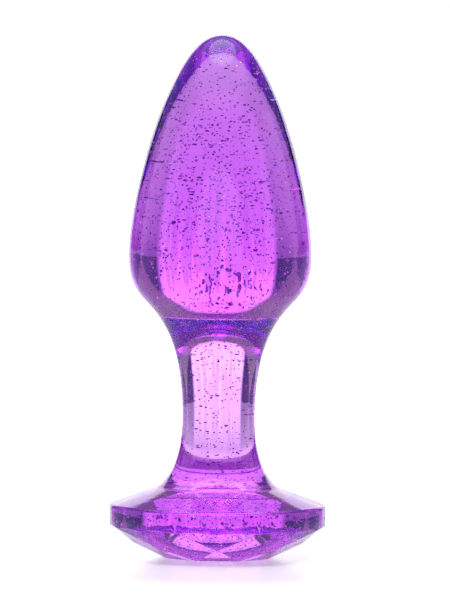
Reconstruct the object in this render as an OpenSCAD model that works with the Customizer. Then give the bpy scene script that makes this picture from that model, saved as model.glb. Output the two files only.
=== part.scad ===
// One-piece casting in tinted clear plastic with foil glitter inside it.
// A tapered bulb stands on a narrow neck and a wide flange. The flange's underside is cut like
// the crown of a round brilliant, and the casting rests on the crown's flat table facet.
// Frame: millimetres, +Z up along the axis, origin at the middle of the table facet.

/* [Overall] */
// Height from the table facet to the tip
total_h = 90; // [87:0.5:100]
// Widest diameter of the bulb
bulb_d = 31.6; // [28:0.2:36]
// Narrowest diameter of the neck
neck_d = 12.6; // [9:0.2:16]
// Diameter of the flange and of the gem's girdle
base_d = 37.4; // [33:0.2:44]

/* [Bulb and neck] */
// Height of the bulb's widest point
belly_z = 52.3; // [51:0.1:56]
// Height of a point on the bulb's upper taper
taper_z = 80.1; // [77:0.1:82]
// Radius at that point
taper_r = 9.1; // [7:0.1:10.5]
// Lean of the taper from upright at that point, in degrees
taper_lean = 25; // [18:1:32]
// Height of the steepest point under the bulb
shoulder_z = 43.5; // [41:0.1:45]
// Radius at that point
shoulder_r = 12.2; // [11:0.1:13.2]
// Slope under the bulb there, in degrees from level
shoulder_slope = 46; // [36:1:56]
// Height of the neck's narrowest point
neck_z = 23.7; // [21:0.1:27]
// Radius where the neck's flare meets the flange
foot_r = 11; // [9.8:0.1:13]
// Fall of the flange's top face towards its rim, in degrees
flange_slope = 20; // [15:1:24]
// Straight steps that each curve of the outline is drawn with
curve_steps = 12; // [6:1:20]

/* [Gem base] */
// Depth of the faceted crown, from the table to the girdle
crown_h = 5.4; // [4.8:0.1:6.6]
// Height of the girdle, the plain band round the rim
girdle_h = 3.7; // [2.8:0.1:4.2]
// Rounding between the girdle and the flange's top face
rim_round = 0.4; // [0.2:0.1:0.8]
// Table radius to its corners, as a share of the girdle's radius
table_share = 0.503; // [0.42:0.001:0.56]
// How far out the star facets reach, as a share of the girdle's radius
star_share = 0.778; // [0.74:0.001:0.82]

/* [Glitter] */
// Foil flakes of each colour
flakes_each = 32; // [4:1:60]
// Width of a flake across its corners
flake_w = 0.6; // [0.3:0.05:0.8]
// Thickness of the foil
flake_t = 0.05; // [0.03:0.01:0.12]
// Clear plastic kept between a flake and the surface
flake_cover = 1.2; // [0.8:0.1:2]

/* [Hidden] */
$fn = 96;

// Gem: the crown has eight-fold symmetry, and its facets come in pairs about each corner
folds = 8;
turn = 360 / folds;
girdle_r = base_d / 2;
table_r = table_share * girdle_r;
star_r = star_share * girdle_r;
kite_slope = atan2(crown_h, girdle_r - table_r);
star_z = (star_r * cos(turn / 2) - table_r) * tan(kite_slope);
table_flat = table_r * cos(turn / 2);
star_slope = atan2(star_z, star_r - table_flat);
half_in = star_r * cos(turn / 4);
half_out = girdle_r * cos(turn / 4);
half_slope = atan2(crown_h - star_z, half_out - half_in);
cutter = 3 * girdle_r;

// Outline
bulb_r = bulb_d / 2;
neck_r = neck_d / 2;
rim_z = crown_h + girdle_h;
foot_z = rim_z + (girdle_r - foot_r) * tan(flange_slope);
lip_r = girdle_r - rim_round;
lip_z = rim_z + rim_round * tan(flange_slope);

// Stations down the outline: radius, height, heading, and how far the curves before and after
// the station hold that heading. Headings are in degrees, 0 outwards and -90 straight down.
TIP = [0, total_h, 0, 0, 4.4];
TAPER = [taper_r, taper_z, taper_lean - 90, 5.2, 8.5];
BELLY = [bulb_r, belly_z, -90, 6.5, 4.7];
SHOULDER = [shoulder_r, shoulder_z, shoulder_slope - 180, 3.4, 6.6];
NECK = [neck_r, neck_z, -90, 8.8, 7.8];
FOOT = [foot_r, foot_z, -flange_slope, 1.9, 0];
LIP = [lip_r, lip_z, -flange_slope, 0, rim_round / 2];
RIM = [girdle_r, rim_z - rim_round, -90, rim_round / 2, 0];

function place(s) = [s[0], s[1]];
function ahead(s, far) = place(s) + far * [cos(s[2]), sin(s[2])];
function blend(a, b, c, d, t) =
    pow(1 - t, 3) * a + 3 * t * pow(1 - t, 2) * b + 3 * t * t * (1 - t) * c + pow(t, 3) * d;

// The curve from one station to the next, without its first point
function curve(s, e, steps) = [
    for (i = [1 : steps])
        blend(place(s), ahead(s, s[4]), ahead(e, -e[3]), place(e), i / steps)
];

side = concat(
    [place(TIP)],
    curve(TIP, TAPER, curve_steps),
    curve(TAPER, BELLY, curve_steps),
    curve(BELLY, SHOULDER, curve_steps),
    curve(SHOULDER, NECK, curve_steps),
    curve(NECK, FOOT, curve_steps),
    [place(LIP)],
    curve(LIP, RIM, 4)
);

// Glitter: flakes step down the axis while they turn by the golden angle, which spaces them out
GOLDEN_ANGLE = 137.508;
GOLDEN_SHARE = 0.618034;
GLITTER_KINDS = 3;
flake_low = 3;
flake_high = total_h - 3;
flakes_all = flakes_each * GLITTER_KINDS;
wall = [for (p = side) [p[1], p[0]]];

function part_of(x) = x - floor(x);
function flake_z(i) = flake_low + (flake_high - flake_low) * (i + 0.5) / flakes_all;
function reach(z) = min(lookup(z, wall), table_r + z) - flake_cover;
function flake_r(i) = reach(flake_z(i)) * sqrt(0.1 + 0.9 * part_of(i * GOLDEN_SHARE));

// Everything below a plane that rises outwards at `slope`, square to `heading`, and passes
// through the point at radius `far` and height `high`
module facet_cut(heading, far, high, slope) {
    rotate([0, 0, heading])
        translate([far, 0, high])
            rotate([0, -slope, 0])
                translate([-cutter / 2, -cutter / 2, -cutter])
                    cube(cutter);
}

// Waste that is cut away to leave the crown: stars, kites, and a pair of half facets each side
module crown_waste() {
    for (k = [0 : folds - 1]) {
        facet_cut(k * turn, table_flat, 0, star_slope);
        facet_cut((k + 0.5) * turn, table_r, 0, kite_slope);
        facet_cut((k + 0.25) * turn, half_out, crown_h, half_slope);
        facet_cut((k + 0.75) * turn, half_out, crown_h, half_slope);
    }
}

// Six-sided foil flakes of one colour, every third place along the spiral from `first`
module flakes(first) {
    for (i = [first : GLITTER_KINDS : flakes_all - 1])
        rotate([0, 0, i * GOLDEN_ANGLE])
            translate([flake_r(i), 0, flake_z(i)])
                rotate([i * 67, i * 41, i * 23])
                    cylinder(d = flake_w, h = flake_t, center = true, $fn = 6);
}

// The single casting: bulb, neck, flange and gem base, with a pocket round each flake
module cast_body() {
    color("mediumorchid", 0.5)
        difference() {
            rotate_extrude()
                polygon(concat(side, [[girdle_r, 0], [0, 0]]));
            crown_waste();
            for (kind = [0 : GLITTER_KINDS - 1])
                flakes(kind);
        }
}

module glitter_violet() {
    color("rebeccapurple") flakes(0);
}

module glitter_pink() {
    color("hotpink") flakes(1);
}

module glitter_silver() {
    color("silver") flakes(2);
}

cast_body();
glitter_violet();
glitter_pink();
glitter_silver();
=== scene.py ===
"""Looks for a one-piece clear tinted casting with foil glitter inside it.

The casting is a turned bulb, neck and flange over a faceted gem base. It is rebuilt here with fine,
smooth surfaces, filled with loose foil flakes, and stood on a white table in soft studio light; the
table glows by itself, as painted light.
"""

import logging
import math
from collections.abc import Iterator, Mapping, Sequence
from dataclasses import dataclass, field
from enum import Enum
from typing import Any

import bmesh
import bpy
from mathutils import Matrix, Vector

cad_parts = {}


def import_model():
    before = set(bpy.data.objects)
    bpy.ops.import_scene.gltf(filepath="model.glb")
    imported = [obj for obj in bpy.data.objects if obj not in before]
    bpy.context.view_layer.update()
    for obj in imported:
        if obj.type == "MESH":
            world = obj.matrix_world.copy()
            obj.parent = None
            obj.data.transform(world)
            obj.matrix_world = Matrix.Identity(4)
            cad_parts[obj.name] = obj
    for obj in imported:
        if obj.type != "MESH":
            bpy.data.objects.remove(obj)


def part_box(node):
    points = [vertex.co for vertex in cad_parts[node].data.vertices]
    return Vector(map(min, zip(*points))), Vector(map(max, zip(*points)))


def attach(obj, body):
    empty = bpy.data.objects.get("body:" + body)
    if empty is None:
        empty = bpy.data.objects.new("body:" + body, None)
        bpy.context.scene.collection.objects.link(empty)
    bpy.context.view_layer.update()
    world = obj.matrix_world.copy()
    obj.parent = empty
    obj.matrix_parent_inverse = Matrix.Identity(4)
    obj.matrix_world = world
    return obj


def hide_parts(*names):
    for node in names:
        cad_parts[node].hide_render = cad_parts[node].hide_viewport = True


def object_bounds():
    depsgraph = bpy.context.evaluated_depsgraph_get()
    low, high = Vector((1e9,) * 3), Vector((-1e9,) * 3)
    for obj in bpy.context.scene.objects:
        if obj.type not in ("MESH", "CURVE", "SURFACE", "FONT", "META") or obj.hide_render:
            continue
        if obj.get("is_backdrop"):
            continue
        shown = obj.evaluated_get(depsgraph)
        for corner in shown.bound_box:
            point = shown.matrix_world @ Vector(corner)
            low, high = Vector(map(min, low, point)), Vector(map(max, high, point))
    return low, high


LOG = logging.getLogger("glitter_casting")
MM = 0.001
ROOT = "root"
WELD = 0.001 * MM

Colour = tuple[float, float, float, float]


class Side(Enum):
    """Which way a smooth step goes as its input rises."""

    RISING = (0.0, 1.0)
    FALLING = (1.0, 0.0)


@dataclass
class Wiring:
    """Short calls that add nodes to one tree and join them.

    Args:
        tree: The shader, world or geometry node tree to build in.
    """

    tree: bpy.types.NodeTree

    def node(
        self, kind: str, inputs: Mapping[str | int, Any] | None = None, **settings: Any
    ) -> bpy.types.Node:
        """Adds a node, sets its properties, and sets or links its inputs.

        Args:
            kind: Blender's name for the type of node.
            inputs: A socket's name or place, and its value or the socket that feeds it.
            settings: The node's own properties, such as its operation.

        Returns:
            The new node.
        """
        made = self.tree.nodes.new(kind)
        for name, value in settings.items():
            setattr(made, name, value)
        for key, value in (inputs or {}).items():
            if isinstance(value, bpy.types.NodeSocket):
                self.tree.links.new(value, made.inputs[key])
            else:
                made.inputs[key].default_value = value
        return made

    def math(self, operation: str, first: Any, second: Any = 0.0) -> bpy.types.NodeSocket:
        """Adds a math node and returns its value.

        Args:
            operation: The operation, as Blender names it.
            first: A number or the socket that gives it.
            second: The same, for operations that take two.

        Returns:
            The result's socket.
        """
        return self.node("ShaderNodeMath", {0: first, 1: second}, operation=operation).outputs[0]

    def step(
        self, value: Any, start: float, stop: float, side: Side = Side.RISING
    ) -> bpy.types.NodeSocket:
        """Adds a smooth step between two values.

        Args:
            value: The socket to test.
            start: Where the step begins.
            stop: Where it ends.
            side: Whether it goes up from 0 or down from 1.

        Returns:
            The step's socket, from 0 to 1.
        """
        low, high = side.value
        spans = {"Value": value, "From Min": start, "From Max": stop, "To Min": low, "To Max": high}
        return self.node("ShaderNodeMapRange", spans, interpolation_type="SMOOTHSTEP").outputs["Result"]

    def between(self, share: Any, first: float, last: float) -> bpy.types.NodeSocket:
        """Adds a number that goes from one value to another.

        Args:
            share: The socket that says how far it has gone, from 0 to 1.
            first: The value at 0.
            last: The value at 1.

        Returns:
            The number's socket.
        """
        spans = {"Value": share, "To Min": first, "To Max": last}
        return self.node("ShaderNodeMapRange", spans).outputs["Result"]

    def random(self, low: float, high: float, seed: Any) -> bpy.types.NodeSocket:
        """Adds a random number for each element of the geometry.

        Args:
            low: The least it can be.
            high: The most.
            seed: A number or socket that picks the draw.

        Returns:
            The number's socket.
        """
        spans = {2: low, 3: high, "Seed": seed}
        return self.node("FunctionNodeRandomValue", spans, data_type="FLOAT").outputs[1]


def group_tree(
    name: str, kind: str, ins: Mapping[str, tuple[str, Any]], outs: Mapping[str, str]
) -> Wiring:
    """Makes a node group with named inputs and outputs.

    Args:
        name: The group's name.
        kind: The tree's type, for shaders or geometry.
        ins: Each input's name, with its socket type and its value, or None for no value.
        outs: Each output's name and its socket type.

    Returns:
        The wiring of the new group, with no nodes in it yet.
    """
    tree = bpy.data.node_groups.new(name, kind)
    for label, (socket, value) in ins.items():
        made = tree.interface.new_socket(label, in_out="INPUT", socket_type=socket)
        if value is not None:
            made.default_value = value
    for label, socket in outs.items():
        tree.interface.new_socket(label, in_out="OUTPUT", socket_type=socket)
    return Wiring(tree)


def run_tree(name: str, tree: bpy.types.NodeTree, values: Mapping[str, Any]) -> bpy.types.Object:
    """Runs a geometry node tree and keeps its result as a plain mesh.

    Args:
        name: The new piece's name.
        tree: The tree to run.
        values: Each of its inputs, by the name that it shows, with Finish among them.

    Returns:
        The piece, at the origin, with no modifier and with Finish as its only material.
    """
    seed_mesh = bpy.data.meshes.new(name + "_seed")
    worker = bpy.data.objects.new(name + "_worker", seed_mesh)
    bpy.context.scene.collection.objects.link(worker)
    modifier = worker.modifiers.new("build", "NODES")
    modifier.node_group = tree
    for item in tree.interface.items_tree:
        if item.item_type == "SOCKET" and item.in_out == "INPUT" and item.name in values:
            modifier[item.identifier] = values[item.name]
    graph = bpy.context.evaluated_depsgraph_get()
    mesh = bpy.data.meshes.new_from_object(worker.evaluated_get(graph), depsgraph=graph)
    mesh.name = name
    mesh.materials.clear()
    mesh.materials.append(values["Finish"])
    worker.modifiers.remove(modifier)
    bpy.data.objects.remove(worker)
    bpy.data.meshes.remove(seed_mesh)
    piece = bpy.data.objects.new(name, mesh)
    bpy.context.scene.collection.objects.link(piece)
    return piece


# ---------------------------------------------------------------------------------------------- finishes


class Mottle:
    """A soft uneven pattern, shared by the plastic, the foil and the table."""

    NAME = "mottle"
    DETAIL = 3.0
    HOLLOW, PEAK = 0.35, 0.65

    @classmethod
    def tree(cls) -> bpy.types.NodeTree:
        """Returns the shader group, built on first use."""
        if cls.NAME in bpy.data.node_groups:
            return bpy.data.node_groups[cls.NAME]
        ins = {
            "Scale": ("NodeSocketFloat", 100.0),
            "Low": ("NodeSocketFloat", 0.0),
            "High": ("NodeSocketFloat", 1.0),
        }
        wiring = group_tree(cls.NAME, "ShaderNodeTree", ins, {"Value": "NodeSocketFloat"})
        given = wiring.node("NodeGroupInput")
        place = wiring.node("ShaderNodeTexCoord").outputs["Object"]
        pattern = {"Vector": place, "Scale": given.outputs["Scale"], "Detail": cls.DETAIL}
        noise = wiring.node("ShaderNodeTexNoise", pattern)
        spans = {
            "Value": noise.outputs["Fac"],
            "From Min": cls.HOLLOW,
            "From Max": cls.PEAK,
            "To Min": given.outputs["Low"],
            "To Max": given.outputs["High"],
        }
        spread = wiring.node("ShaderNodeMapRange", spans)
        wiring.node("NodeGroupOutput", {"Value": spread.outputs["Result"]})
        return wiring.tree

    @classmethod
    def place(cls, wiring: Wiring, scale: float, low: float, high: float) -> bpy.types.NodeSocket:
        """Puts the pattern in a material.

        Args:
            wiring: The material's wiring.
            scale: Blotches in a metre, roughly.
            low: The value in its hollows.
            high: The value on its peaks.

        Returns:
            The pattern's socket.
        """
        values = {"Scale": scale, "Low": low, "High": high}
        return wiring.node("ShaderNodeGroup", values, node_tree=cls.tree()).outputs["Value"]


def blank_material(name: str) -> tuple[bpy.types.Material, Wiring]:
    """Makes a material with an empty node tree.

    Args:
        name: The material's name.

    Returns:
        The material and the wiring of its tree.
    """
    made = bpy.data.materials.new(name)
    made.use_nodes = True
    made.node_tree.nodes.clear()
    return made, Wiring(made.node_tree)


@dataclass(frozen=True)
class TintedPlastic:
    """Clear hard plastic, dyed right through and polished by its mould.

    Args:
        name: The material's name.
        tint: Colour that its surface gives to what passes through.
        dye: What the dye lets through; the complement is what it takes out.
        dye_density: How strongly it does so, per metre.
        bend: Index of refraction.
        sheen: Tint of its reflections, where they aren't seen at a low angle.
        skin_low: Roughness where the surface is cleanest.
        skin_high: Roughness where it has been handled.
        skin_scale: Blotches of roughness in a metre, roughly.
        ripple: Height of the mould's slow ripple, in metres.
        ripple_scale: Ripples in a metre, roughly.
        ripple_strength: How far the ripple turns the surface, as a share of its real slope.
    """

    name: str = "dyed_clear_plastic"
    tint: Colour = (0.97, 0.95, 1.0, 1.0)
    dye: Colour = (0.805, 0.0, 0.963, 1.0)
    dye_density: float = 72.0
    bend: float = 1.49
    sheen: Colour = (0.88, 0.7, 0.97, 1.0)
    skin_low: float = 0.015
    skin_high: float = 0.05
    skin_scale: float = 160.0
    ripple: float = 0.04 * MM
    ripple_scale: float = 220.0
    ripple_strength: float = 0.35

    def build(self) -> bpy.types.Material:
        """Returns the material."""
        made, wiring = blank_material(self.name)
        skin = Mottle.place(wiring, self.skin_scale, self.skin_low, self.skin_high)
        height = Mottle.place(wiring, self.ripple_scale, 0.0, 1.0)
        slopes = {"Strength": self.ripple_strength, "Distance": self.ripple, "Height": height}
        bump = wiring.node("ShaderNodeBump", slopes)
        surface = wiring.node(
            "ShaderNodeBsdfPrincipled",
            {
                "Base Color": self.tint,
                "Specular Tint": self.sheen,
                "Roughness": skin,
                "IOR": self.bend,
                "Transmission Weight": 1.0,
                "Normal": bump.outputs["Normal"],
            },
        )
        bath = {"Color": self.dye, "Density": self.dye_density}
        inside = wiring.node("ShaderNodeVolumeAbsorption", bath)
        both = {"Surface": surface.outputs[0], "Volume": inside.outputs[0]}
        wiring.node("ShaderNodeOutputMaterial", both)
        return made


@dataclass(frozen=True)
class Foil:
    """Metallised film, a little different from flake to flake.

    Args:
        name: The material's name.
        dark: Colour of the darkest flakes.
        light: Colour of the lightest.
        roughness: How blurred its mirror is.
        clearest: Least roughness, as a share of that.
        dullest: Most roughness, as a share of it.
        grain: Blotches of roughness in a metre, roughly.
    """

    name: str
    dark: Colour
    light: Colour
    roughness: float = 0.4
    clearest: float = 0.7
    dullest: float = 1.4
    grain: float = 3000.0

    TONE = "flake_tone"

    def build(self) -> bpy.types.Material:
        """Returns the material."""
        made, wiring = blank_material(self.name)
        tone = wiring.node("ShaderNodeAttribute", attribute_name=self.TONE)
        colour = wiring.node(
            "ShaderNodeMix",
            {0: tone.outputs["Fac"], 6: self.dark, 7: self.light},
            data_type="RGBA",
        )
        least, most = self.roughness * self.clearest, self.roughness * self.dullest
        blur = Mottle.place(wiring, self.grain, least, most)
        surface = wiring.node(
            "ShaderNodeBsdfPrincipled",
            {"Base Color": colour.outputs[2], "Metallic": 1.0, "Roughness": blur},
        )
        wiring.node("ShaderNodeOutputMaterial", {"Surface": surface.outputs[0]})
        return made


@dataclass(frozen=True)
class TableZone:
    """The finish of one part of the table, whose glow is painted light.

    Args:
        shade: Its colour.
        painted_glow: How strongly it glows by itself; this is painted light, which lightens the object's
            shadow.
        gloss: Roughness of its reflection.
        polish: How strong the reflection is, where 0.5 is plain plastic.
        veiled: Whether the camera sees plain white there, so that the table has no far edge.
        spread: How much the gloss differs from place to place, as a share of it.
        grain: Blotches of gloss in a metre, roughly.
    """

    shade: Colour
    painted_glow: float
    gloss: float
    polish: float
    veiled: bool = False
    spread: float = 0.1
    grain: float = 12.0

    def place(self, wiring: Wiring) -> bpy.types.NodeSocket:
        """Adds the zone's shader to a material.

        Args:
            wiring: The material's wiring.

        Returns:
            The shader's socket.
        """
        least, most = self.gloss * (1 - self.spread), self.gloss * (1 + self.spread)
        # The emission is painted light: the table glows by itself, more strongly round the object, which
        # lightens the object's shadow.
        made = wiring.node(
            "ShaderNodeBsdfPrincipled",
            {
                "Base Color": self.shade,
                "Roughness": Mottle.place(wiring, self.grain, least, most),
                "Specular IOR Level": self.polish,
                "Emission Color": (1.0, 1.0, 1.0, 1.0),
                "Emission Strength": self.painted_glow,
            },
        )
        if self.veiled:
            seen = wiring.node("ShaderNodeLightPath").outputs["Is Camera Ray"]
            strength = wiring.math("MAXIMUM", seen, self.painted_glow)
            wiring.tree.links.new(strength, made.inputs["Emission Strength"])
        return made.outputs[0]


@dataclass(frozen=True)
class PaleFloor:
    """A white table, brighter and softer round the object and glossier further out. It glows by itself,
    more strongly round the object, as painted light that lightens the object's shadow.

    Args:
        name: The material's name.
        near: The finish round the object.
        far: The finish beyond it.
        reach: Radius at which one gives way to the other.
        fade: Where that change begins and ends, as shares of the radius.
    """

    name: str = "pale_floor"
    # Both zones glow by themselves as painted light, the near one more strongly, to lighten the object's
    # shadow.
    near: TableZone = TableZone((0.57, 0.57, 0.57, 1.0), painted_glow=0.25, gloss=0.2, polish=0.2)
    far: TableZone = TableZone((0.345, 0.35, 0.41, 1.0), painted_glow=0.14, gloss=0.12, polish=0.25, veiled=True)
    reach: float = 0.05
    fade: tuple[float, float] = (0.8, 1.25)

    def build(self) -> bpy.types.Material:
        """Returns the material."""
        made, wiring = blank_material(self.name)
        place = wiring.node("ShaderNodeTexCoord").outputs["Object"]
        away = wiring.node("ShaderNodeVectorMath", {0: place}, operation="LENGTH").outputs["Value"]
        share = wiring.step(away, self.reach * self.fade[0], self.reach * self.fade[1])
        zones = {0: share, 1: self.near.place(wiring), 2: self.far.place(wiring)}
        both = wiring.node("ShaderNodeMixShader", zones)
        wiring.node("ShaderNodeOutputMaterial", {"Surface": both.outputs[0]})
        return made


# ---------------------------------------------------------------------------------------------- casting


@dataclass(frozen=True)
class Station:
    """A point on the casting's outline, in millimetres, that its curves pass through.

    Args:
        radius: Distance from the axis.
        height: Height above the table facet.
        heading: Direction of travel down the outline, in degrees: 0 outwards, -90 straight down.
        before: How far the curve that arrives holds that heading.
        after: How far the curve that leaves holds it.
    """

    radius: float
    height: float
    heading: float
    before: float
    after: float

    def ahead(self, far: float) -> Vector:
        """The point `far` millimetres along the heading, or behind it where far is negative."""
        turn = math.radians(self.heading)
        return Vector((self.radius + far * math.cos(turn), 0.0, self.height + far * math.sin(turn)))


@dataclass
class GemCut:
    """The facets under the flange: the crown of a round brilliant, table down.

    Args:
        girdle: Radius of the gem's girdle.
        depth: Height of the girdle's lower edge above the table.
        folds: How many times the pattern repeats.
        table_share: The table's radius to its corners, as a share of the girdle's.
        star_share: How far out the star facets reach, as a share of the girdle's.
    """

    girdle: float
    depth: float
    folds: int = 8
    table_share: float = 0.503
    star_share: float = 0.778

    @property
    def turn(self) -> float:
        """The angle of one repeat."""
        return math.tau / self.folds

    @property
    def table(self) -> float:
        """The table's radius to its corners."""
        return self.girdle * self.table_share

    @property
    def star(self) -> float:
        """The radius of the star facets' outer corners."""
        return self.girdle * self.star_share

    @property
    def star_height(self) -> float:
        """The height of those corners, which lie in the kite facets' planes."""
        rise = self.depth / (self.girdle - self.table)
        return (self.star * math.cos(self.turn / 2) - self.table) * rise

    def scallop(self, angle: float) -> float:
        """Height of the girdle's lower edge, which dips between the facets that cut it.

        Args:
            angle: Direction from the axis, counted from a star facet.

        Returns:
            The height there, in metres.
        """
        half = self.turn / 4
        inner, outer = self.star * math.cos(half), self.girdle * math.cos(half)
        rise = (self.depth - self.star_height) / (outer - inner)
        off = (angle % (self.turn / 2)) - half
        return self.depth + (self.girdle * math.cos(off) - outer) * rise


def polar_vert(bm: bmesh.types.BMesh, radius: float, angle: float, height: float) -> bmesh.types.BMVert:
    """Adds a vertex to a mesh by its radius and direction from the Z axis, and its height."""
    return bm.verts.new((radius * math.cos(angle), radius * math.sin(angle), height))


@dataclass
class Casting:
    """The single clear casting.

    The sizes from design_height on are in millimetres and degrees, at the design's own height.

    Args:
        low: Lowest corner of its CAD solid.
        high: Highest corner.
        columns: Steps round the axis, a multiple of 32 so that every facet corner falls on one.
        curve_rows: Steps along each curve of the outline.
        edge_round: Width of the polished edge between two facets.
        name: The piece's name.
        design_height: From the table facet to the tip.
        taper_radius: Radius at a point on the bulb's upper taper.
        taper_height: Height of that point.
        taper_lean: Lean of the taper from upright there.
        bulb_radius: Radius of the bulb's widest point.
        belly_height: Height of that point.
        shoulder_radius: Radius at the steepest point under the bulb.
        shoulder_height: Height of that point.
        shoulder_slope: Slope there, from level.
        neck_radius: Radius of the neck's narrowest point.
        neck_height: Height of that point.
        foot_radius: Radius where the neck's flare meets the flange.
        flange_slope: Fall of the flange's top face towards its rim.
        crown_height: Height of the faceted crown, from the table to the girdle.
        girdle_height: Height of the plain band round the rim.
        rim_round: Rounding between that band and the flange's top face.
    """

    low: Vector
    high: Vector
    columns: int = 256
    curve_rows: int = 32
    edge_round: float = 0.07 * MM
    name: str = "cast_body_clear"
    design_height: float = 90.0
    taper_radius: float = 9.1
    taper_height: float = 80.1
    taper_lean: float = 25.0
    bulb_radius: float = 15.8
    belly_height: float = 52.3
    shoulder_radius: float = 12.2
    shoulder_height: float = 43.5
    shoulder_slope: float = 46.0
    neck_radius: float = 6.3
    neck_height: float = 23.7
    foot_radius: float = 11.0
    flange_slope: float = 20.0
    crown_height: float = 5.4
    girdle_height: float = 3.7
    rim_round: float = 0.4

    @property
    def scale(self) -> float:
        """Metres for each millimetre of the design, from the CAD solid's height."""
        return (self.high.z - self.low.z) / self.design_height

    @property
    def girdle(self) -> float:
        """The girdle's radius in metres, from the CAD solid's width."""
        return (self.high.x - self.low.x) / 2

    def stations(self) -> list[Station]:
        """The outline from the tip down to the girdle."""
        rim, edge = self.girdle / self.scale, self.crown_height + self.girdle_height
        fall = math.tan(math.radians(self.flange_slope))
        lean, lip, bend = -self.flange_slope, rim - self.rim_round, self.rim_round / 2
        taper, shoulder = self.taper_lean - 90.0, self.shoulder_slope - 180.0
        return [
            Station(0.0, self.design_height, 0.0, 0.0, 4.4),
            Station(self.taper_radius, self.taper_height, taper, 5.2, 8.5),
            Station(self.bulb_radius, self.belly_height, -90.0, 6.5, 4.7),
            Station(self.shoulder_radius, self.shoulder_height, shoulder, 3.4, 6.6),
            Station(self.neck_radius, self.neck_height, -90.0, 8.8, 7.8),
            Station(self.foot_radius, edge + (rim - self.foot_radius) * fall, lean, 1.9, 2.4),
            Station(lip, edge + self.rim_round * fall, lean, 2.4, bend),
            Station(rim, edge - self.rim_round, -90.0, bend, 0.0),
        ]

    def outline(self) -> bpy.types.Object:
        """The outline as a Bezier curve in the XZ plane."""
        data = bpy.data.curves.new("outline", "CURVE")
        data.dimensions = "3D"
        data.resolution_u = self.curve_rows
        spline = data.splines.new("BEZIER")
        stations = self.stations()
        spline.bezier_points.add(len(stations) - 1)
        for point, station in zip(spline.bezier_points, stations):
            point.handle_left_type = point.handle_right_type = "FREE"
            point.co = station.ahead(0.0) * self.scale
            point.handle_left = station.ahead(-station.before) * self.scale
            point.handle_right = station.ahead(station.after) * self.scale
        made = bpy.data.objects.new("outline", data)
        bpy.context.scene.collection.objects.link(made)
        return made

    def lathe_tree(self) -> bpy.types.NodeTree:
        """A geometry node tree that turns an outline round the Z axis."""
        ins = {
            "Outline": ("NodeSocketObject", None),
            "Columns": ("NodeSocketInt", 64),
            "Rows": ("NodeSocketInt", 64),
            "Finish": ("NodeSocketMaterial", None),
        }
        wiring = group_tree("lathe", "GeometryNodeTree", ins, {"Geometry": "NodeSocketGeometry"})
        given = wiring.node("NodeGroupInput")
        info = wiring.node("GeometryNodeObjectInfo", {"Object": given.outputs["Outline"]})
        line = wiring.node("GeometryNodeCurveToMesh", {"Curve": info.outputs["Geometry"]})
        counts = {
            "Size X": 1.0,
            "Size Y": 1.0,
            "Vertices X": wiring.math("ADD", given.outputs["Columns"], 1.0),
            "Vertices Y": wiring.math("ADD", given.outputs["Rows"], 1.0),
        }
        grid = wiring.node("GeometryNodeMeshGrid", counts)
        spread = wiring.node("ShaderNodeSeparateXYZ", {0: grid.outputs["UV Map"]})
        row = wiring.math("ROUND", wiring.math("MULTIPLY", spread.outputs["Y"], given.outputs["Rows"]))
        sample = wiring.node(
            "GeometryNodeSampleIndex", {"Geometry": line.outputs["Mesh"]}, data_type="FLOAT_VECTOR"
        )
        position = wiring.node("GeometryNodeInputPosition").outputs[0]
        wiring.tree.links.new(position, sample.inputs["Value"])
        wiring.tree.links.new(row, sample.inputs["Index"])
        point = wiring.node("ShaderNodeSeparateXYZ", {0: sample.outputs["Value"]})
        angle = wiring.math("MULTIPLY", spread.outputs["X"], math.tau)
        across = wiring.math("MULTIPLY", point.outputs["X"], wiring.math("COSINE", angle))
        along = wiring.math("MULTIPLY", point.outputs["X"], wiring.math("SINE", angle))
        turned = wiring.node("ShaderNodeCombineXYZ", {"X": across, "Y": along, "Z": point.outputs["Z"]})
        shaped = wiring.node(
            "GeometryNodeSetPosition", {"Geometry": grid.outputs["Mesh"], "Position": turned.outputs[0]}
        )
        welded = wiring.node(
            "GeometryNodeMergeByDistance", {"Geometry": shaped.outputs[0], "Distance": WELD}
        )
        solid = wiring.node("GeometryNodeRealizeInstances", {0: welded.outputs[0]})
        dressed = wiring.node(
            "GeometryNodeSetMaterial", {"Geometry": solid.outputs[0], "Material": given.outputs["Finish"]}
        )
        wiring.node("NodeGroupOutput", {"Geometry": dressed.outputs[0]})
        return wiring.tree

    def turned_part(self, finish: bpy.types.Material) -> bpy.types.Object:
        """The bulb, neck and flange, open at the girdle.

        Args:
            finish: The casting's material.

        Returns:
            The turned piece.
        """
        outline = self.outline()
        rows = self.curve_rows * (len(self.stations()) - 1)
        values = {"Outline": outline, "Columns": self.columns, "Rows": rows, "Finish": finish}
        piece = run_tree(self.name, self.lathe_tree(), values)
        bpy.data.objects.remove(outline)
        return piece

    def ring(self, bm: bmesh.types.BMesh, heights: Sequence[float]) -> list[bmesh.types.BMVert]:
        """A ring of vertices on the girdle, one for each column.

        Args:
            bm: The mesh to add to.
            heights: Each vertex's height.

        Returns:
            The new vertices in order.
        """
        step = math.tau / self.columns
        return [polar_vert(bm, self.girdle, i * step, height) for i, height in enumerate(heights)]

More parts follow.
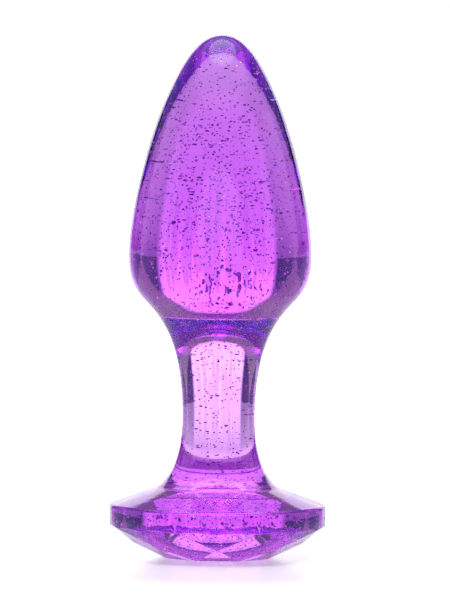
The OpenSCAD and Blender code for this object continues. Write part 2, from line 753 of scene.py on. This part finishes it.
    def add_crown(self, bm: bmesh.types.BMesh) -> list[bmesh.types.BMEdge]:
        """Adds the girdle band and the gem's facets under the turned part.

        Args:
            bm: The mesh to add to.

        Returns:
            The edges of every facet.
        """
        cut = GemCut(self.girdle, self.crown_height * self.scale)
        top = (self.crown_height + self.girdle_height - self.rim_round) * self.scale
        step = math.tau / self.columns
        upper = self.ring(bm, [top] * self.columns)
        lower = self.ring(bm, [cut.scallop(i * step) for i in range(self.columns)])
        for i in range(self.columns):
            j = (i + 1) % self.columns
            bm.faces.new((upper[i], upper[j], lower[j], lower[i])).smooth = True
        turns = range(cut.folds)
        stars = [polar_vert(bm, cut.star, k * cut.turn, cut.star_height) for k in turns]
        corners = [polar_vert(bm, cut.table, (k + 0.5) * cut.turn, 0.0) for k in turns]
        facets = [bm.faces.new(corners)]
        reach = self.columns // cut.folds
        for k in turns:
            star, after = stars[k], stars[(k + 1) % cut.folds]
            first, middle, last = k * reach, k * reach + reach // 2, (k + 1) * reach
            before = [lower[i] for i in range(first, middle + 1)]
            beyond = [lower[i % self.columns] for i in range(middle, last + 1)]
            facets.append(bm.faces.new((corners[k - 1], corners[k], star)))
            facets.append(bm.faces.new((corners[k], after, lower[middle], star)))
            facets.append(bm.faces.new([star] + before))
            facets.append(bm.faces.new([after] + beyond))
        for facet in facets:
            facet.smooth = False
        return list(dict.fromkeys(edge for facet in facets for edge in facet.edges))

    def build(self, finish: bpy.types.Material) -> bpy.types.Object:
        """Builds the whole casting as one closed mesh.

        Args:
            finish: The casting's material.

        Returns:
            The finished piece.
        """
        piece = self.turned_part(finish)
        bm = bmesh.new()
        bm.from_mesh(piece.data)
        for face in bm.faces:
            face.smooth = True
        edges = self.add_crown(bm)
        bmesh.ops.remove_doubles(bm, verts=bm.verts, dist=WELD)
        bmesh.ops.recalc_face_normals(bm, faces=bm.faces)
        bmesh.ops.bevel(bm, geom=edges, offset=self.edge_round, segments=2, affect="EDGES", profile=0.5)
        open_edges = sum(not edge.is_manifold for edge in bm.edges)
        bm.to_mesh(piece.data)
        bm.free()
        LOG.info("%s: %d faces, %d open edges", piece.name, len(piece.data.polygons), open_edges)
        return piece


# ---------------------------------------------------------------------------------------------- glitter


@dataclass(frozen=True)
class FlakeKind:
    """One colour of glitter.

    Args:
        node: The CAD node that it stands for.
        slot: Name of a material slot; not used.
        foil: Its finish.
        share: Its share of all the flakes.
        seed: Which random scatter it has.
    """

    node: str
    slot: str
    foil: Foil
    share: float
    seed: int


class Draw(Enum):
    """What a flake's random numbers are for, and what each adds to the seed."""

    ROLL = 1.0
    PITCH = 2.0
    YAW = 3.0
    SIZE = 4.0
    TONE = 5.0


@dataclass
class Glitter:
    """Loose foil flakes, scattered evenly through the casting.

    Args:
        per_cubic_cm: Flakes of every colour in a cubic centimetre.
        width: A flake's width across its corners.
        thickness: The foil's thickness.
        cover: Clear plastic kept between a flake's middle and the surface.
        sides: Sides of a flake.
        smallest: Size of the smallest flakes, as a share of the width.
        largest: Size of the largest.
        voxel: Grain of the volume that the flakes are scattered in.
        band: Depth of that volume under the surface.
        kinds: The colours.
    """

    per_cubic_cm: float = 180.0
    width: float = 0.3 * MM
    thickness: float = 0.04 * MM
    cover: float = 0.5 * MM
    sides: int = 6
    smallest: float = 0.65
    largest: float = 1.2
    voxel: float = 0.5 * MM
    band: float = 1.0 * MM
    kinds: list[FlakeKind] = field(
        default_factory=lambda: [
            FlakeKind(
                "glitter_violet",
                "violet_foil",
                Foil("violet_foil", (0.12, 0.03, 0.3, 1.0), (0.4, 0.2, 0.75, 1.0)),
                0.45,
                11,
            ),
            FlakeKind(
                "glitter_pink",
                "pink_foil",
                Foil("pink_foil", (0.6, 0.15, 0.5, 1.0), (0.95, 0.5, 0.85, 1.0)),
                0.3,
                23,
            ),
            FlakeKind(
                "glitter_silver",
                "silver_foil",
                Foil("silver_foil", (0.6, 0.58, 0.66, 1.0), (0.95, 0.94, 0.98, 1.0)),
                0.25,
                37,
            ),
        ]
    )

    def tree(self) -> bpy.types.NodeTree:
        """A geometry node tree that fills a closed body with flakes."""
        ins = {
            "Body": ("NodeSocketObject", None),
            "Density": ("NodeSocketFloat", 1.0),
            "Seed": ("NodeSocketInt", 0),
            "Width": ("NodeSocketFloat", self.width),
            "Thickness": ("NodeSocketFloat", self.thickness),
            "Cover": ("NodeSocketFloat", self.cover),
            "Finish": ("NodeSocketMaterial", None),
        }
        wiring = group_tree("flake_fill", "GeometryNodeTree", ins, {"Geometry": "NodeSocketGeometry"})
        given = wiring.node("NodeGroupInput")
        seed = given.outputs["Seed"]
        body = wiring.node("GeometryNodeObjectInfo", {"Object": given.outputs["Body"]}).outputs["Geometry"]
        fog = wiring.node(
            "GeometryNodeMeshToVolume",
            {"Mesh": body, "Voxel Size": self.voxel, "Interior Band Width": self.band},
            resolution_mode="VOXEL_SIZE",
        )
        points = wiring.node(
            "GeometryNodeDistributePointsInVolume",
            {"Volume": fog.outputs["Volume"], "Density": given.outputs["Density"], "Seed": seed},
        )
        skin = wiring.node("GeometryNodeProximity", {0: body}, target_element="FACES")
        shallow = wiring.node("FunctionNodeCompare", operation="LESS_THAN", data_type="FLOAT")
        wiring.tree.links.new(skin.outputs["Distance"], shallow.inputs[0])
        wiring.tree.links.new(given.outputs["Cover"], shallow.inputs[1])
        kept = wiring.node(
            "GeometryNodeDeleteGeometry",
            {"Geometry": points.outputs["Points"], "Selection": shallow.outputs[0]},
            domain="POINT",
        )
        radius = wiring.math("MULTIPLY", given.outputs["Width"], 0.5)
        flake = wiring.node(
            "GeometryNodeMeshCylinder",
            {"Vertices": self.sides, "Radius": radius, "Depth": given.outputs["Thickness"]},
        )

        def draw(low: float, high: float, use: Draw) -> bpy.types.NodeSocket:
            """A random number for each flake, between low and high."""
            return wiring.random(low, high, wiring.math("ADD", seed, use.value))

        turns = {
            "X": draw(0.0, math.tau, Draw.ROLL),
            "Y": draw(0.0, math.tau, Draw.PITCH),
            "Z": draw(0.0, math.tau, Draw.YAW),
        }
        spin = wiring.node("ShaderNodeCombineXYZ", turns)
        placed = wiring.node(
            "GeometryNodeInstanceOnPoints",
            {
                "Points": kept.outputs[0],
                "Instance": flake.outputs["Mesh"],
                "Rotation": spin.outputs[0],
                "Scale": draw(self.smallest, self.largest, Draw.SIZE),
            },
        )
        toned = wiring.node(
            "GeometryNodeStoreNamedAttribute",
            {
                "Geometry": placed.outputs[0],
                "Name": Foil.TONE,
                "Value": draw(0.0, 1.0, Draw.TONE),
            },
            domain="INSTANCE",
            data_type="FLOAT",
        )
        loose = wiring.node("GeometryNodeRealizeInstances", {0: toned.outputs[0]})
        dressed = wiring.node(
            "GeometryNodeSetMaterial", {"Geometry": loose.outputs[0], "Material": given.outputs["Finish"]}
        )
        wiring.node("NodeGroupOutput", {"Geometry": dressed.outputs[0]})
        return wiring.tree

    def build(self, body: bpy.types.Object) -> Iterator[tuple[FlakeKind, bpy.types.Object]]:
        """Builds each colour's flakes.

        Args:
            body: The closed casting that they fill.

        Yields:
            The kind, and its flakes as one plain mesh.
        """
        tree = self.tree()
        for kind in self.kinds:
            values = {
                "Body": body,
                "Density": self.per_cubic_cm * kind.share * 1e6,
                "Seed": kind.seed,
                "Width": self.width,
                "Thickness": self.thickness,
                "Cover": self.cover,
                "Finish": kind.foil.build(),
            }
            piece = run_tree(kind.node + "_flakes", tree, values)
            LOG.info("%s: %d flakes", piece.name, len(piece.data.polygons) // (self.sides + 2))
            yield kind, piece


# ---------------------------------------------------------------------------------------------- studio


@dataclass
class Studio:
    """A glowing table under the object, soft light round it, and the camera. The table's glow is painted
    light.

    The light is four bright windows on the horizon with dark flags between them, a brighter canopy
    higher up, and the brightest light overhead. Angles are in degrees.

    Args:
        low: Lowest corner of the object.
        high: Highest corner.
        distance: From the camera to the object's axis.
        elevation: How far the camera stands above the base.
        tall: Height of the picture at the object.
        roll: How far the camera is turned about its own axis.
        aim_right: How far to the right of the axis the camera is aimed.
        aim_down: How far under the object's middle it is aimed.
        floor_radius: Radius of the light table.
        air_gap: Air between the table and the object.
        window_half: Half of a window's width.
        window_top: How high a window reaches in its middle.
        window_turn: How far the windows are turned about the object.
        arch: How much lower a window's top is at its sides, in radians.
        window_level: Brightness of the windows before and behind the object.
        side_level: Brightness of those on its left and right.
        fold_scale: Folds of the windows' blinds in a radian, roughly.
        fold_floor: Pattern value at which a fold starts to rise.
        fold_ceiling: Pattern value at which it is tallest.
        fold_height: How high the tallest fold reaches, in radians.
        fold_shade: How bright a fold is, as a share of its window.
        flag: Colour of the dark flags.
        above_level: Brightness of everything above the windows.
        canopy_edge: Elevation at which the canopy begins.
        canopy_level: How much brighter the canopy is.
        top_edge: Elevation at which the light overhead begins.
        top_level: How much brighter that light is.
        bounces: How often light may bounce, or pass through a surface.
        mirror_bounces: How often it may be reflected.
        clamp: Brightest that it may be once it has bounced.
    """

    low: Vector
    high: Vector
    distance: float = 0.9
    elevation: float = 5.3
    tall: float = 0.1033
    roll: float = 0.6
    aim_right: float = 0.9 * MM
    aim_down: float = 0.6 * MM
    floor_radius: float = 4.0
    air_gap: float = 0.04 * MM
    window_half: float = 28.0
    window_top: float = 27.5
    window_turn: float = 2.2
    arch: float = 0.12
    window_level: float = 1.8
    side_level: float = 0.9
    fold_scale: float = 18.0
    fold_floor: float = 0.35
    fold_ceiling: float = 0.7
    fold_height: float = 0.35
    fold_shade: float = 0.7
    flag: Colour = (0.048, 0.0105, 0.155, 1.0)
    above_level: float = 0.3
    canopy_edge: float = 43.0
    canopy_level: float = 0.9
    top_edge: float = 61.0
    top_level: float = 3.4
    bounces: int = 32
    mirror_bounces: int = 12
    clamp: float = 6.0

    WINDOWS = 4

    # How gradually each edge in the light comes in: the windows' in radians, those above in degrees
    SIDE_BLUR, TOP_BLUR, TURN_BLUR = 0.04, 0.03, 0.01
    FOLD_BLUR = (-0.06, 0.02)
    CANOPY_BLUR, OVERHEAD_BLUR = 4.0, 3.0

    def add_floor(self) -> bpy.types.Object:
        """Lays the table a hair's breadth under the object, because air between keeps the gem bright."""
        bm = bmesh.new()
        level = Matrix.Translation((0.0, 0.0, self.low.z - self.air_gap))
        bmesh.ops.create_circle(bm, cap_ends=True, segments=96, radius=self.floor_radius, matrix=level)
        mesh = bpy.data.meshes.new("studio_floor")
        bm.to_mesh(mesh)
        bm.free()
        floor = bpy.data.objects.new("studio_floor", mesh)
        bpy.context.scene.collection.objects.link(floor)
        floor.data.materials.append(PaleFloor().build())
        floor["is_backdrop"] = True
        return floor

    def pane_level(self, wiring: Wiring, turn: Any, rise: Any) -> bpy.types.NodeSocket:
        """Adds the windows' brightness, dimmer at the object's sides and inside the folds.

        Args:
            wiring: The world's wiring.
            turn: The direction's angle round the object, in radians.
            rise: Its angle above the horizon, in radians.

        Returns:
            The brightness.
        """
        pattern = {"W": turn, "Scale": self.fold_scale, "Detail": 2.0}
        folds = wiring.node("ShaderNodeTexNoise", pattern, noise_dimensions="1D")
        spans = {
            "Value": folds.outputs["Fac"],
            "From Min": self.fold_floor,
            "From Max": self.fold_ceiling,
            "To Max": self.fold_height,
        }
        crest = wiring.node("ShaderNodeMapRange", spans).outputs["Result"]
        over = wiring.math("SUBTRACT", rise, crest)
        shaded = wiring.between(wiring.step(over, *self.FOLD_BLUR, Side.FALLING), 1.0, self.fold_shade)
        quarter = math.pi / self.WINDOWS
        aside = wiring.math("PINGPONG", turn, 2 * quarter)
        sideways = wiring.step(aside, quarter - self.TURN_BLUR, quarter + self.TURN_BLUR)
        level = wiring.between(sideways, self.window_level, self.side_level)
        return wiring.math("MULTIPLY", shaded, level)

    def lid_level(self, wiring: Wiring, rise: Any) -> bpy.types.NodeSocket:
        """Adds the brightness above the windows, which goes up in two steps.

        Args:
            wiring: The world's wiring.
            rise: The direction's angle above the horizon, in radians.

        Returns:
            The brightness.
        """
        total: Any = self.above_level
        for edge, blur, level in (
            (self.top_edge, self.OVERHEAD_BLUR, self.top_level),
            (self.canopy_edge, self.CANOPY_BLUR, self.canopy_level),
        ):
            share = wiring.step(rise, math.radians(edge - blur), math.radians(edge + blur))
            total = wiring.math("ADD", wiring.math("MULTIPLY", share, level), total)
        return total

    def add_world(self) -> None:
        """Sets the soft light, which the camera itself sees as plain white."""
        world = bpy.data.worlds.new("soft_studio")
        world.use_nodes = True
        world.node_tree.nodes.clear()
        wiring = Wiring(world.node_tree)
        toward = wiring.node("ShaderNodeTexCoord").outputs["Generated"]
        part = wiring.node("ShaderNodeSeparateXYZ", {0: toward}).outputs
        turn = wiring.math("ARCTAN2", part["X"], part["Y"])
        rise = wiring.math("ARCSINE", part["Z"])
        turned = wiring.math("SUBTRACT", turn, math.radians(self.window_turn))
        off = wiring.math("PINGPONG", turned, math.pi / self.WINDOWS)
        half, top = math.radians(self.window_half), math.radians(self.window_top)
        across = wiring.step(off, half - self.SIDE_BLUR, half + self.SIDE_BLUR, Side.FALLING)
        edgeward = wiring.math("POWER", wiring.math("DIVIDE", off, half), 3.0)
        arched = wiring.math("ADD", rise, wiring.math("MULTIPLY", edgeward, self.arch))
        under = wiring.step(arched, top - self.TOP_BLUR, top + self.TOP_BLUR, Side.FALLING)
        pane, lid = (
            wiring.node("ShaderNodeCombineXYZ", {"X": level, "Y": level, "Z": level}).outputs[0]
            for level in (self.pane_level(wiring, turn, rise), self.lid_level(wiring, rise))
        )
        ring = wiring.node("ShaderNodeMix", {0: across, 6: self.flag, 7: pane}, data_type="RGBA")
        whole = wiring.node("ShaderNodeMix", {0: under, 6: lid, 7: ring.outputs[2]}, data_type="RGBA")
        lit = wiring.node("ShaderNodeBackground", {"Color": whole.outputs[2], "Strength": 1.0})
        plain = wiring.node("ShaderNodeBackground", {"Color": (1.0, 1.0, 1.0, 1.0), "Strength": 1.0})
        seen = wiring.node("ShaderNodeLightPath").outputs["Is Camera Ray"]
        both = wiring.node("ShaderNodeMixShader", {0: seen, 1: lit.outputs[0], 2: plain.outputs[0]})
        wiring.node("ShaderNodeOutputWorld", {"Surface": both.outputs[0]})
        bpy.context.scene.world = world

    def add_camera(self) -> None:
        """Sets the camera level with the upper half of the object, looking slightly down at its base."""
        data = bpy.data.cameras.new("studio_camera")
        data.lens = data.sensor_width * self.distance / self.tall
        data.clip_start, data.clip_end = 0.05, 20.0
        camera = bpy.data.objects.new("studio_camera", data)
        bpy.context.scene.collection.objects.link(camera)
        stand = Vector((0.0, -self.distance, self.distance * math.tan(math.radians(self.elevation))))
        middle = (self.low + self.high) / 2
        target = Vector((self.aim_right, 0.0, middle.z - self.aim_down))
        aim = (target - stand).to_track_quat("-Z", "Y").to_matrix()
        tilt = Matrix.Rotation(math.radians(self.roll), 3, "Z")
        camera.matrix_world = Matrix.Translation(stand) @ (aim @ tilt).to_4x4()
        bpy.context.scene.camera = camera

    def set_scene(self) -> None:
        """Sets the plain display transform, and enough bounces for light to pass through the casting."""
        scene = bpy.context.scene
        scene.view_settings.view_transform = "Standard"
        scene.view_settings.look = "None"
        scene.cycles.max_bounces = self.bounces
        scene.cycles.transmission_bounces = self.bounces
        scene.cycles.glossy_bounces = self.mirror_bounces
        scene.cycles.sample_clamp_indirect = self.clamp

    def build(self) -> None:
        """Builds the table, the light and the camera."""
        self.add_floor()
        self.add_world()
        self.add_camera()
        self.set_scene()
        LOG.info("studio: camera %.2f m away", self.distance)


def main() -> None:
    """Builds the casting, its glitter and the studio, in that order."""
    logging.basicConfig(level=logging.INFO, format="%(name)s: %(message)s")
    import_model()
    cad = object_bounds()
    low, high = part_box("cast_body")
    casting = Casting(Vector(low), Vector(high))
    body = casting.build(TintedPlastic().build())
    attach(body, ROOT)
    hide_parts("cast_body")
    for kind, piece in Glitter().build(body):
        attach(piece, ROOT)
        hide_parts(kind.node)
    Studio(Vector(cad[0]), Vector(cad[1])).build()


if __name__ == "__main__":
    main()
